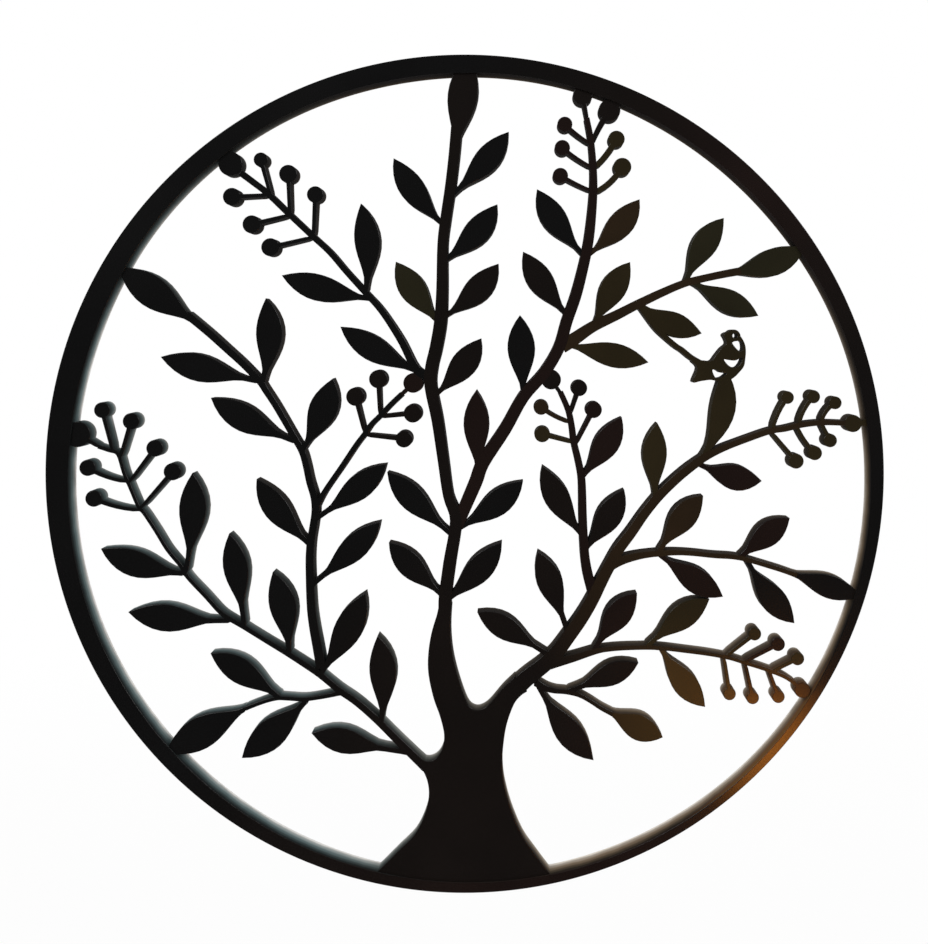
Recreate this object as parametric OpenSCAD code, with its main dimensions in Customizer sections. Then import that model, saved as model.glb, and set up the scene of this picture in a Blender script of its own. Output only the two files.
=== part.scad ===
// Tree of life in a round rim: a flat wall ornament, cut from plate and joined edge to edge.
// The front faces -Y and +Z is up. The origin is the centre of the rim's outer circle, half way
// through the whole depth, hanger and wall pads included.

/* [Rim] */
// Outer diameter of the rim
rim_d = 300; // [280:1:330]
// Mean width of the rim's band
rim_w = 5.4; // [4.8:0.1:7]
// How far the rim's opening sits to the right of the outer circle's centre
open_right = 1.3; // [0:0.1:1.4]
// How far the rim's opening sits below the outer circle's centre
open_down = 1.4; // [0:0.1:1.5]
// Depth of the rim, front to back
rim_t = 6; // [5:0.5:8]

/* [Tree] */
// Thickness of the tree's plate
tree_t = 5; // [4:0.5:8]
// Width of the centre stem where it leaves the trunk
leader_w = 4.4; // [3.6:0.1:5.2]
// Width of the right bough where it leaves the trunk
bough_w = 5.4; // [4.6:0.1:6.2]
// Width of a branch where it leaves a bough
branch_w = 2.5; // [2:0.1:3.2]
// Width of the thinnest twigs
twig_w = 1.5; // [1.2:0.1:2]

/* [Leaves and berries] */
// Width of a common leaf's blade
leaf_w = 9.2; // [7.5:0.1:10]
// Width of a leaf's stalk
stalk_w = 1.8; // [1.4:0.1:2.4]
// Share of a leaf's length that is stalk
stalk_share = 0.12; // [0.05:0.01:0.25]
// Diameter of a common berry
berry_d = 5.4; // [4.4:0.1:6.4]
// Width of a berry's stalk
berry_stalk_w = 1.3; // [1:0.1:2]

/* [Bird] */
// Diameter of the bird's head
head_d = 5; // [4:0.1:6]
// Diameter of the hole for its eye
eye_d = 1.8; // [1:0.1:2.4]

/* [Hanger] */
// Width of the hanger plate behind the top leaf
hanger_w = 6.4; // [6:0.1:6.8]
// Distance between the hanger plate's two screws
hanger_reach = 9.8; // [9.6:0.1:10.4]
// Thickness of the hanger plate
hanger_t = 1.6; // [1.4:0.1:3]
// Diameter of the hole that hangs on a wall nail
hanger_hole_d = 3.6; // [3:0.1:4]
// Length of the spacers between the hanger plate and the tree
spacer_h = 4; // [3:0.5:8]
// Diameter of a spacer
spacer_d = 4; // [3.6:0.1:4.6]
// Thread diameter of a hanger screw
screw_d = 2; // [1.6:0.1:2.2]
// Gap around a screw in the hanger plate and in the spacers
screw_gap = 0.2; // [0.1:0.05:0.3]

/* [Wall pads] */
// Diameter of a wall pad where it meets the trunk
pad_d = 9; // [7:0.5:11]
// Distance of each wall pad from the centre line
pad_x = 12; // [10:0.5:14]
// Height of the wall pads above the rim's lowest point
pad_up = 14; // [13:0.5:18]

/* [Hidden] */

paint = [0.08, 0.08, 0.08];
zinc = "silver";
rubber = [0.2, 0.2, 0.2];
$fn = 32;

// The middle plane of the rim and of the tree's plate
mid_y = -(spacer_h + hanger_t) / 2;
open_r = rim_d / 2 - rim_w;
open_c = [open_right, -open_down];
// The tree's points below are drawn in millimetres for an opening of this radius and centre
drawn_r = 144.6;
drawn_c = [1.3, -1.4];
grow = open_r / drawn_r;
// Steps between two points of a smooth line, and along one side of a leaf
line_steps = 4;
leaf_steps = 12;
eps = 0.01;

// ---- Smooth lines -------------------------------------------------------------------------

function put(q) = open_c + grow * (q - drawn_c);
function put_all(list) = [for (q = list) put(q)];
function unit(v) = v / norm(v);
function left_of(v) = [-v[1], v[0]];
function held(list, i) = list[max(0, min(len(list) - 1, i))];

// Catmull-Rom curve through b and c, with a before them and d after them
function curve(a, b, c, d, t) =
    0.5 * (2 * b + (c - a) * t + (2 * a - 5 * b + 4 * c - d) * t * t
    + (3 * b - a - 3 * c + d) * t * t * t);

// The point at place k of a line; a fraction lies between two of its points
function on(list, k) = let (i = min(floor(k), len(list) - 2))
    curve(held(list, i - 1), list[i], list[i + 1], held(list, i + 2), k - i);

function smooth(list) = [
    for (i = [0:len(list) - 2], s = [0:line_steps - 1])
        curve(held(list, i - 1), list[i], list[i + 1], held(list, i + 2), s / line_steps),
    list[len(list) - 1]
];

function ring_item(list, i) = list[(i + len(list)) % len(list)];
function smooth_loop(list) = [
    for (i = [0:len(list) - 1], s = [0:line_steps - 1])
        curve(ring_item(list, i - 1), list[i], ring_item(list, i + 1), ring_item(list, i + 2),
            s / line_steps)
];

// Width at share u of a line, from widths spread evenly along it
function width_at(widths, u) = let (
    n = len(widths) - 1, i = min(floor(u * n), n - 1)
) widths[i] + (widths[i + 1] - widths[i]) * (u * n - i);

// Outline of a strip along a line
function strip(line, widths) = let (
    last = len(line) - 1,
    side = [for (i = [0:last])
        left_of(unit(held(line, i + 1) - held(line, i - 1))) * width_at(widths, i / last) / 2]
) concat([for (i = [0:last]) line[i] + side[i]], [for (i = [last:-1:0]) line[i] - side[i]]);

function bend(a, c, b, t) = (1 - t) * (1 - t) * a + 2 * t * (1 - t) * c + t * t * b;
function bend_dir(a, c, b, t) = unit((1 - t) * (c - a) + t * (b - c));

// Half width of a leaf at share t of its length: a narrow root inside the stem, a stalk, a
// hollow flare up to the belly, its widest place, and a pointed blade
belly = 0.54;
flare = 1.4;
root_share = 0.3;
leaf_at = concat([0, 0.04], [for (i = [1:leaf_steps - 1]) i / leaf_steps]);
function half_w(t, w, share) = t == 0 ? root_share * stalk_w / 2
    : t < share ? stalk_w / 2
    : let (v = (t - share) / (1 - share)) v < belly
    ? stalk_w / 2 + (w - stalk_w) / 2 * pow(sin(90 * v / belly), flare)
    : w / 2 * (1 - pow((v - belly) / (1 - belly), 2));

// A plate of thickness t on the middle plane, from a flat outline in X and Z
module plate(t) translate([0, mid_y, 0]) rotate([90, 0, 0])
    linear_extrude(height = t, center = true) children();

module stem(list, widths) polygon(strip(smooth(put_all(list)), grow * widths));

// The point that a bowed way from a to b is bent towards
function bent(a, b, bow) = (a + b) / 2 + left_of(b - a) * bow * 2;

// One leaf from a point on its stem to its tip; bow bends it to the left of that way, and
// share is the part of its length that is stalk
module leaf(base, tip, bow = 0, w = leaf_w, share = stalk_share) {
    a = put(base);
    b = put(tip);
    c = bent(a, b, bow);
    mid = [for (t = leaf_at) bend(a, c, b, t)];
    side = [for (t = leaf_at) left_of(bend_dir(a, c, b, t)) * grow * half_w(t, w, share)];
    last = len(mid) - 1;
    polygon(concat([for (i = [0:last]) mid[i] + side[i]], [b],
        [for (i = [last:-1:0]) mid[i] - side[i]]));
}

// Widths of a berry's stalk, from its narrow root inside the stem to the berry
berry_stalk = berry_stalk_w * [0.4, 1.05, 1.1, 1.15, 1.2, 1.25, 1.3];

// One berry on a stalk that starts at a point on its stem; stout widens the stalk
module berry(base, centre, bow = 0, d = berry_d, stout = 1) {
    a = put(base);
    b = put(centre);
    c = bent(a, b, bow);
    polygon(strip([for (i = [0:6]) bend(a, c, b, i / 6)], grow * stout * berry_stalk));
    translate(b) circle(d = grow * d);
}

// One leaf from its item: [place on the line, tip, bow, blade width, share of stalk]
module leaf_of(line, item) leaf(on(line, item[0]), item[1], item[2], item[3] * leaf_w,
    len(item) > 4 ? item[4] : stalk_share);

// A row of leaves on one line. Child 0 is what they are cut to; each leaf is also cut to the
// one before it.
module leaves(line, items) {
    for (i = [0:len(items) - 1]) plate(tree_t) difference() {
        leaf_of(line, items[i]);
        children(0);
        if (i > 0) leaf_of(line, items[i - 1]);
    }
}

// One berry from its item: [place on the line, centre, bow, size, stoutness of its stalk]
module berry_of(line, item) berry(on(line, item[0]), item[1], item[2], item[3] * berry_d,
    len(item) > 4 ? item[4] : 1);

// A spray of berries on one line. Child 0 is what they are cut to; each berry is also cut to
// the one before it.
module berries(line, items) {
    for (i = [0:len(items) - 1]) plate(tree_t) difference() {
        berry_of(line, items[i]);
        children(0);
        if (i > 0) berry_of(line, items[i - 1]);
    }
}

// ---- Lines of the tree, from the root end to the tip ---------------------------------------

centre_stem_line = [
    [-7.1, -48.8], [-7, -44], [-5.4, -32], [-3.2, -17], [-5.9, -8], [-7.7, 4.5], [-9.8, 19],
    [-12.2, 31], [-11.9, 38], [-10.3, 45], [-8.7, 54.5], [-8.1, 66], [-7.9, 82],
    [-6.8, 91.5], [-5.1, 103], [-3.8, 114], [-2.9, 124]
];
crown_line = [
    [-2.9, -19], [0.8, -10.4], [4, -2.9], [6.6, 3.9], [14.5, 15.9], [21, 27.4], [28.5, 36.1],
    [33.8, 45.1], [36.6, 54.5], [39.6, 63], [41.9, 71.5], [44.2, 82], [45.5, 92.5], [46.2, 103],
    [46, 111.5], [45.2, 120], [43.8, 127.5]
];
upper_left_line = [
    [-12, 34.5], [-17.3, 37.2], [-22.3, 46.8], [-26.9, 54.2], [-30.9, 59.7], [-35.6, 64.8],
    [-42.5, 72.4], [-48.5, 79.4], [-55, 85.4], [-63.5, 93.4], [-70.8, 100.4], [-76.5, 104.8],
    [-80.5, 107.8]
];
upper_right_line = [
    [35, 45.8], [38.8, 47.8], [46, 52.6], [54.5, 56.7], [62.5, 60.8], [71.3, 65], [79, 68.2],
    [86, 70], [93.5, 71.6], [99, 72.6]
];
bird_twig_line = [
    [62, 60.4], [63.8, 58.2], [66.8, 54.3], [69.8, 50.8], [75.3, 46], [78, 44.2],
    [81.2, 41.6], [85, 39.4]
];
right_bough_line = [
    [18.8, -76.6], [22.9, -72.9], [28.2, -68.8], [32.6, -64.6], [36.8, -59], [41.8, -52],
    [45.8, -45.2], [48.7, -39.3], [51.7, -33.5], [55.1, -27.4], [59.6, -21.4], [64.7, -14.1],
    [70.2, -7.5], [76.7, -1.3], [82.2, 3.1], [86.5, 6], [92.8, 9.1], [101.2, 12.3],
    [109.6, 15.2], [115, 16], [121, 17.4], [128.5, 18.2], [136.4, 18]
];
right_upright_line = [
    [46, -43], [44.2, -36.5], [43.2, -30.5], [42.8, -25.5], [42.5, -20], [42.3, -13.5],
    [42.2, -7.5], [41.9, -1.5], [40.7, 4.7], [39.2, 11], [38.4, 17], [37.2, 22.5], [34.4, 29]
];
right_branch_line = [
    [52.4, -33], [57, -31], [63, -29.5], [69.3, -28.7], [75.7, -28.4], [82, -28.7],
    [89.5, -29.5], [96, -29.9], [101, -30.8], [107.5, -32.7], [114, -34.7], [119, -36.5]
];
lower_right_line = [
    [30.5, -68.5], [35, -67.3], [39.7, -66], [46, -64], [50, -63.2], [56.5, -62.6],
    [65, -62.4], [71.5, -62.7], [79, -63.6], [86, -64.5], [91.5, -65.4], [96, -66.4],
    [101, -68], [106.5, -69.7], [110.5, -71.1], [115, -73], [118.5, -75.3]
];
low_right_line = [
    [25.5, -75], [29, -77], [32.5, -78], [36.5, -78.4], [41, -79.5], [45, -81.6],
    [49, -84.2], [53, -86.3]
];
left_bough_line = [
    [-14, -105.5], [-18, -101.7], [-24, -95.8], [-31.5, -88.4], [-38.6, -82.2], [-45.2, -77.6],
    [-51.9, -72.2], [-58.2, -68], [-64.2, -64.2], [-71.2, -60], [-79, -55.2], [-84, -52.3],
    [-87.8, -49.6], [-92.7, -44.2], [-99.2, -37.3], [-101.6, -33.4], [-106.6, -27.3],
    [-110.6, -20.8], [-114.9, -14.3], [-117, -11.8], [-119.8, -5.3], [-122.2, 0.3],
    [-124.3, 6.9], [-127.6, 8.3], [-131.4, 9.6]
];
left_upright_line = [
    [-51.5, -70], [-52.8, -62.5], [-54, -56], [-54.9, -49.5], [-55.3, -43], [-55.5, -37],
    [-55.6, -30.5], [-55.2, -24.5], [-54.3, -19], [-53.6, -13.5], [-54, -8.5], [-55.6, -3],
    [-56.9, 3], [-58.4, 8], [-61.5, 13.5], [-65, 19.6], [-68.2, 25], [-71.3, 29.7],
    [-73.4, 32.9], [-76.8, 36.5], [-80.3, 40], [-85.5, 44.7], [-90.8, 49.5], [-96, 53.9],
    [-99.8, 57]
];
lower_left_line = [
    [-44, -78.5], [-47.7, -79.4], [-53, -80.4], [-58, -81], [-63.5, -80.7], [-67, -80.6],
    [-71, -81.5], [-75, -82.9], [-78.5, -84.3]
];
berry_twig_line = [
    [-53.8, -13.5], [-50.5, -7], [-44.2, 2.2], [-39, 10], [-35.8, 14.2], [-33.6, 17.4],
    [-30.4, 20.6], [-26.5, 24.7], [-22.7, 28.3]
];

// ---- Leaves and berries: [place on the line, [tip or centre], bow, size] -------------------

top_leaf_items = [[15, [1.5, 151], 0, 1.18]];
centre_stem_leaf_items = [
    [12.7, [-25.5, 113], 0.04, 1], [13.65, [15.8, 122.5], -0.03, 0.98, 0.18],
    [11.6, [11.7, 96.5], -0.055, 1.02], [10.1, [12.1, 75.2], -0.06, 1.03, 0.15],
    [9.9, [-24.7, 75.9], 0.025, 1.06], [6.65, [5.8, 48.4], -0.045, 1.03, 0.15]
];
fork_leaf_items = [
    [2.75, [20.9, -2.8], -0.035, 1, 0.17], [2.6, [-27.8, 0.5], 0.02, 0.98, 0.19],
    [0.95, [-27.2, -24.8], 0.022, 0.95, 0.17], [0.7, [13.3, -24.8], -0.03, 1]
];
crown_leaf_items = [
    [2.4, [4.2, 30], 0.01, 1], [5, [19.8, 56.8], 0, 1.08], [8.2, [20.9, 79.5], 0.03, 1.02],
    [10.6, [25.9, 101.9], 0.04, 1, 0.16], [10.6, [62.7, 98.3], -0.045, 1, 0.16]
];
upper_left_leaf_items = [
    [0.8, [-44.6, 52.6], 0.03, 1], [4.6, [-65.6, 71], 0.03, 1.04],
    [5, [-37.2, 96.8], -0.05, 1]
];
upper_right_leaf_items = [
    [0.4, [65.9, 39.8], -0.005, 0.96], [2, [59.3, 75.8], 0.02, 1.03], [4, [85, 50.2], -0.055, 0.95],
    [6, [92.9, 91.6], 0.04, 1], [6.3, [105.3, 56.5], -0.01, 0.95], [8, [122, 81], -0.05, 1.07]
];
right_bough_leaf_items = [
    [2.7, [4.5, -49.8], -0.01, 0.92, 0.25], [4.1, [26.2, -28], -0.01, 1, 0.24],
    [11.7, [69, 18.2], 0.025, 0.95], [14.2, [106.5, -2.7], -0.06, 1, 0.18],
    [14.4, [92.8, 38.2], -0.11, 0.96]
];
right_upright_leaf_items = [
    [2.6, [57.2, -5.8], -0.03, 1], [3.5, [27.8, 2.7], 0.04, 1], [7, [56.3, 20.2], -0.03, 1]
];
right_branch_leaf_items = [
    [3, [85.5, -8], 0.03, 1, 0.16], [3, [92.6, -44.2], -0.02, 1, 0.16],
    [7.5, [116.5, -16], 0.01, 0.95], [8, [118.2, -53.7], -0.035, 1, 0.16],
    [10.3, [142, -44.1], -0.01, 0.92]
];
lower_right_leaf_items = [
    [3, [61.8, -43], 0.03, 1, 0.18], [6, [87.7, -45.1], 0.03, 0.98, 0.18],
    [6.8, [86.2, -83.7], -0.03, 0.97]
];
low_right_leaf_items = [
    [0.15, [46.2, -102.8], -0.04, 1.04, 0.2], [3, [62.3, -67.9], -0.005, 0.89, 0.22],
    [6.85, [71, -94.6], -0.022, 1, 0.04]
];
left_bough_leaf_items = [
    [1.3, [-54.9, -93.1], 0.016, 0.98, 0.3], [2.8, [-31.2, -58.1], -0.045, 1.05],
    [6, [-35.7, -42.8], -0.03, 1.1], [7.8, [-68.8, -35.3], -0.04, 1.05],
    [10.85, [-120.6, -49.7], 0.03, 1.06, 0.22], [10, [-84.4, -21.5], -0.01, 0.97, 0.22],
    [14.3, [-130.4, -27], 0.055, 1.03], [14.3, [-97.6, 0.2], -0.03, 1.06, 0.22]
];
left_upright_leaf_items = [
    [4.4, [-30.3, -17.4], -0.015, 1, 0.2], [6.8, [-74.6, -2], 0.045, 0.98],
    [8.4, [-28.1, 3.3], -0.015, 1, 0.2], [13, [-47.2, 34.1], -0.04, 1.12],
    [13.6, [-91, 27.1], 0.035, 1.05, 0.18], [18, [-109, 41.8], 0.015, 1.07, 0.18],
    [17.7, [-71.3, 62.8], -0.06, 1.03], [22.8, [-124, 74], 0.01, 1.23]
];
lower_left_leaf_items = [
    [2.6, [-79.9, -102], 0.015, 1.16], [4.7, [-91.1, -64.5], -0.015, 1],
    [7.85, [-107.2, -100.4], -0.008, 1.26, 0.06]
];

upper_left_berry_items = [
    [7.9, [-53.6, 100], 0, 1.1], [7.9, [-69.7, 81.1], 0, 1.2], [8.9, [-63.3, 107.4], 0, 1.2],
    [8.9, [-76.4, 89.3], 0, 1.2], [9.8, [-73.1, 112.5], 0, 0.95], [9.9, [-83.5, 99.2], 0, 1.18],
    [11.8, [-84, 111], 0, 1.6]
];
crown_berry_items = [
    [12.8, [34.3, 106.8], 0.02, 1.02, 0.9], [12.75, [56.5, 109.9], -0.08, 1.2, 1.4],
    [13.75, [35, 116.8], 0.03, 1.02, 0.9], [13.75, [54.4, 119.9], -0.05, 1.1, 1.45],
    [14.75, [35.9, 125.2], 0.03, 1, 0.9], [14.75, [51.9, 130.2], 0.03, 1.45, 1.35],
    [15.8, [42.3, 135.6], 0, 1.3]
];
right_berry_items = [
    [18.1, [115.7, 27.2], 0.05, 0.85], [18, [118.8, 4.4], 0, 1], [19.8, [125, 27.5], 0.07, 0.88],
    [19.7, [125.5, 7.3], -0.05, 0.95], [20.9, [132.8, 25.3], 0.1, 0.85],
    [20.9, [131, 11.8], 0, 0.9]
];
lower_right_berry_items = [
    [10.4, [103.9, -57.5], 0, 0.88], [10.3, [94.9, -79], 0, 0.85],
    [11.8, [112.3, -61.2], 0, 0.92], [11.9, [103.2, -80.4], 0, 0.85],
    [13.9, [119.3, -66.4], 0, 0.88], [13.6, [112.4, -80], 0, 0.85],
    [15.8, [121, -77.6], 0, 1.05]
];
left_berry_items = [
    [18.7, [-104.8, 0.6], 0, 1.15], [18.4, [-133, -9], 0.05, 1.1],
    [20.3, [-111.1, 9], 0, 1.12], [20.4, [-135.2, 2], 0.05, 1.08],
    [21.7, [-119.6, 18.7], 0, 1.1], [22.6, [-130, 22.7], 0, 1.05], [23.8, [-138.8, 14], 0, 1.7]
];
berry_twig_berry_items = [
    [4, [-39.2, 27.5], 0, 1.22], [3.9, [-21.8, 12.3], 0, 1.12], [6, [-31, 33.8], 0, 1.22],
    [5.9, [-18.6, 21.5], 0, 1.22], [7.8, [-18.5, 32.4], 0, 1.3]
];
right_upright_berry_items = [
    [8.8, [46.2, 22.8], 0, 1.1], [9, [27.8, 14], 0, 1.05], [10.7, [41, 30.6], 0, 1.08],
    [10.2, [27.4, 23.7], 0.05, 1], [11.8, [31, 33.6], 0, 1.3]
];

// The berry at the right bough's end, and the neck that joins it to the rim
end_berry_at = [139.2, 17.9];
end_berry_share = 1.15;
end_berry_neck = [[139.2, 17.9], [141.8, 18], [144, 18.2], [148, 18.4]];

// ---- Flat outlines --------------------------------------------------------------------------

// The rim's opening is not quite round: how far its edge lies outside its mean circle every 20
// degrees, from the right and counter-clockwise
opening_bulge = [-0.6, -0.6, -1, -0.6, 0.2, 0.1, 0.4, -0.1, -1.4, -1.4, -0.7, -0.5, -0.1, 0.3,
    0.4, 0.5, 0.6, 0.1];
opening_steps = 180;
function bulge(k) = let (i = floor(k), list = opening_bulge)
    curve(ring_item(list, i - 1), list[i], ring_item(list, i + 1), ring_item(list, i + 2), k - i);
opening_loop = [for (i = [0:opening_steps - 1]) let (a = 360 * i / opening_steps)
    open_c + (open_r + grow * bulge(i * len(opening_bulge) / opening_steps)) * [cos(a), sin(a)]];
module opening_flat() polygon(opening_loop);

// Everything outside the rim's opening
module around_flat() difference() {
    circle(d = rim_d * 1.2, $fn = 180);
    opening_flat();
}

// The trunk: a foot on the rim, the roots of both boughs and the foot of the centre stem
trunk_left = [
    [-36, -147], [-31, -142.5], [-24, -135.5], [-18, -129.5], [-14.6, -123], [-12.9, -116],
    [-13.4, -110.3], [-15.6, -105.3], [-18, -101.8]
];
trunk_left_crotch = [
    [-16, -102.6], [-13, -103.2], [-10, -101.8], [-8, -98.5], [-7.4, -93.5], [-8.9, -87],
    [-11.2, -80.5], [-13, -72], [-13.1, -65], [-12, -57.5], [-10.2, -51.5], [-9.4, -48]
];
trunk_right_crotch = [
    [-4.7, -47.5], [-5.1, -56], [-4.3, -65], [-2.1, -74], [0.9, -82.2], [3.4, -84.6],
    [6, -84.5], [9, -82.4], [13.6, -77], [18, -72.8]
];
trunk_right = [
    [22.3, -78.2], [20, -79.8], [17.6, -82.9], [15.1, -89.8], [13.9, -97], [13.5, -104],
    [14.2, -111], [16.6, -120], [20.7, -129.8], [25.9, -137.3], [30.2, -143], [34, -148]
];

module trunk_flat() difference() {
    polygon(concat(smooth(put_all(trunk_left)), smooth(put_all(trunk_left_crotch)),
        smooth(put_all(trunk_right_crotch)), smooth(put_all(trunk_right))));
    around_flat();
}

module centre_stem_flat() difference() {
    stem(centre_stem_line, leader_w * [1.05, 1.04, 0.86, 0.96, 1.05, 1.05, 0.87, 0.9, 0.93]);
    trunk_flat();
}
module crown_flat() difference() {
    stem(crown_line, leader_w * [1, 1.13, 1, 0.96, 0.93, 0.8, 0.57, 0.42]);
    centre_stem_flat();
}
module upper_left_flat() difference() {
    stem(upper_left_line, branch_w * [1.3, 1, 0.85, 0.85, 0.9]);
    centre_stem_flat();
}
module upper_right_flat() difference() {
    stem(upper_right_line, branch_w * [2.2, 1.6, 1.3, 1.1, 1.05, 1.1]);
    crown_flat();
}
module bird_twig_flat() difference() {
    stem(bird_twig_line, twig_w * [0.8, 1.3, 1.3, 1.3]);
    upper_right_flat();
    bird_body_flat();
}
module right_bough_flat() difference() {
    stem(right_bough_line,
        bough_w * [1.16, 0.99, 0.88, 0.77, 0.66, 0.6, 0.42, 0.38, 0.35]);
    trunk_flat();
}
module right_upright_flat() difference() {
    stem(right_upright_line, branch_w * [1.6, 1.3, 1.2, 1.1, 1, 0.88, 0.8]);
    right_bough_flat();
}
module right_branch_flat() difference() {
    stem(right_branch_line, twig_w * [2.4, 1.6, 1.25, 1.2, 1.2, 1.25]);
    right_bough_flat();
}
module lower_right_flat() difference() {
    stem(lower_right_line, twig_w * [2.4, 1.2, 1, 1, 1]);
    right_bough_flat();
}
module low_right_flat() difference() {
    stem(low_right_line, twig_w * [1.8, 1.1, 1, 1.1]);
    right_bough_flat();
}
module left_bough_flat() difference() {
    stem(left_bough_line,
        bough_w * [0.6, 0.48, 0.42, 0.32, 0.3, 0.27, 0.25, 0.25, 0.27]);
    trunk_flat();
}
module left_upright_flat() difference() {
    stem(left_upright_line, branch_w * [1.4, 1.2, 1.05, 0.93, 1, 1.1]);
    left_bough_flat();
}
module lower_left_flat() difference() {
    stem(lower_left_line, twig_w * [1.2, 0.95, 0.95, 1]);
    left_bough_flat();
}
module berry_twig_flat() difference() {
    stem(berry_twig_line, twig_w * [1.3, 1.3]);
    left_upright_flat();
}

// The bird: a round head with a beak, an arched back, a notched tail, and four openings
bird_loop = [
    [81.5, 40.2], [83.4, 37.7], [81.7, 32.8], [84.8, 33.1], [88.4, 33.5], [92.4, 32.6],
    [94.5, 33.2], [96.7, 34.5], [98.5, 36.3], [100.1, 38.4], [100.6, 41], [100.8, 44.2],
    [100.3, 46.8], [98.8, 49.3], [96.5, 50.8], [93.9, 50.6], [92.7, 49.6], [93.4, 48.2],
    [93.8, 46.5], [92, 44.9], [90, 42.4], [88.4, 40.4], [86.2, 40.4]
];
throat_loop = [
    [96, 47], [98.2, 47.5], [99.5, 47], [99.8, 44.6], [99, 43.7], [98, 44.2], [96.7, 45.6]
];
wing_loop = [
    [93, 40.9], [95.6, 40.5], [97.4, 40.6], [99.5, 41.6], [99.1, 39.9], [97.8, 38.2],
    [96.2, 38], [94.5, 38.8]
];
tail_loop = [
    [88.8, 36.8], [89.5, 37.3], [90.9, 36.7], [91.8, 36.1], [93.8, 35.9], [92.9, 34.9],
    [91.7, 34.3], [89.9, 34.4]
];
head_at = [96.4, 49.1];
eye_at = [96.9, 49.4];

module bird_body_flat() {
    polygon(smooth_loop(put_all(bird_loop)));
    translate(put(head_at)) circle(d = grow * head_d);
}
module bird_flat() difference() {
    bird_body_flat();
    polygon(smooth_loop(put_all(throat_loop)));
    polygon(smooth_loop(put_all(wing_loop)));
    polygon(smooth_loop(put_all(tail_loop)));
    translate(put(eye_at)) circle(d = grow * eye_d);
}

// ---- Places of the hardware behind the tree -------------------------------------------------

tree_back = mid_y + tree_t / 2;
rim_back = mid_y + rim_t / 2;
plate_y = max(tree_back, rim_back) + spacer_h;
back_y = plate_y + hanger_t;
// The hanger's screws: one into the rim, one into the top leaf
hanger_x = -0.6;
rim_screw_z = rim_d / 2 - (rim_w + open_down) / 2;
leaf_screw_z = rim_screw_z - hanger_reach;
screw_hole_d = screw_d + 2 * screw_gap;
head_w = 1.8 * screw_d;
head_t = 0.6 * screw_d;
slot_w = 0.25 * screw_d;
screw_in = 3;
pad_z = pad_up - rim_d / 2;
pad_taper = 0.9;

// A round solid along +Y at height z, from y0; its ends have diameters d0 and d1
module round_y(z, y0, len, d0, d1) translate([0, y0, z]) rotate([-90, 0, 0])
    cylinder(h = len, d1 = d0, d2 = d1);

module screw_head(z) round_y(z, back_y - head_t, head_t, screw_d, head_w);
// The threaded hole for a screw, in from a back face at y = face
module screw_hole(z, face) translate([hanger_x, 0, 0])
    round_y(z, face - screw_in, screw_in + eps, screw_d, screw_d);

// ---- Pieces ---------------------------------------------------------------------------------

module rim() color(paint) difference() {
    translate([0, mid_y, 0]) rotate([90, 0, 0])
        cylinder(h = rim_t, d = rim_d, center = true, $fn = 180);
    plate(rim_t + 2 * eps) opening_flat();
    screw_hole(rim_screw_z, rim_back);
}
module trunk() color(paint) plate(tree_t) trunk_flat();
module centre_stem() color(paint) plate(tree_t) centre_stem_flat();
module crown_stem() color(paint) plate(tree_t) crown_flat();
module upper_left_branch() color(paint) plate(tree_t) upper_left_flat();
module upper_right_branch() color(paint) plate(tree_t) upper_right_flat();
module bird_twig() color(paint) plate(tree_t) bird_twig_flat();
module right_bough() color(paint) plate(tree_t) right_bough_flat();
module right_upright() color(paint) plate(tree_t) right_upright_flat();
module right_branch() color(paint) plate(tree_t) right_branch_flat();
module lower_right_branch() color(paint) plate(tree_t) lower_right_flat();
module low_right_twig() color(paint) plate(tree_t) low_right_flat();
module left_bough() color(paint) plate(tree_t) left_bough_flat();
module left_upright() color(paint) plate(tree_t) left_upright_flat();
module lower_left_branch() color(paint) plate(tree_t) lower_left_flat();
module berry_twig() color(paint) plate(tree_t) berry_twig_flat();
module bird() color(paint) plate(tree_t) bird_flat();

module top_leaf() color(paint) difference() {
    leaves(centre_stem_line, top_leaf_items) {
        union() { centre_stem_flat(); around_flat(); }
    }
    screw_hole(leaf_screw_z, tree_back);
}
module centre_stem_leaves() color(paint) leaves(centre_stem_line, centre_stem_leaf_items)
    centre_stem_flat();
module fork_leaves() color(paint) leaves(centre_stem_line, fork_leaf_items) union() {
    centre_stem_flat();
    crown_flat();
    trunk_flat();
    leaf_of(left_upright_line, left_upright_leaf_items[2]);
}
module crown_leaves() color(paint) leaves(crown_line, crown_leaf_items) crown_flat();
module upper_left_leaves() color(paint) leaves(upper_left_line, upper_left_leaf_items) union() {
    upper_left_flat();
    centre_stem_flat();
}
module upper_right_leaves() color(paint) leaves(upper_right_line, upper_right_leaf_items) union() {
    upper_right_flat();
    crown_flat();
    bird_twig_flat();
    around_flat();
}
module right_bough_leaves() color(paint) leaves(right_bough_line, right_bough_leaf_items) union() {
    right_bough_flat();
    bird_body_flat();
}
module right_upright_leaves() color(paint) leaves(right_upright_line, right_upright_leaf_items)
    right_upright_flat();
module right_branch_leaves() color(paint) leaves(right_branch_line, right_branch_leaf_items)
    union() {
        right_branch_flat();
        around_flat();
    }
module lower_right_leaves() color(paint) leaves(lower_right_line, lower_right_leaf_items) union() {
    lower_right_flat();
    leaf_of(right_branch_line, right_branch_leaf_items[1]);
}
module low_right_leaves() color(paint) leaves(low_right_line, low_right_leaf_items) union() {
    low_right_flat();
    right_bough_flat();
}
module left_bough_leaves() color(paint) leaves(left_bough_line, left_bough_leaf_items) union() {
    left_bough_flat();
    left_upright_flat();
}
module left_upright_leaves() color(paint) leaves(left_upright_line, left_upright_leaf_items)
    union() {
        left_upright_flat();
        around_flat();
    }
module lower_left_leaves() color(paint) leaves(lower_left_line, lower_left_leaf_items) union() {
    lower_left_flat();
    around_flat();
}

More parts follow.
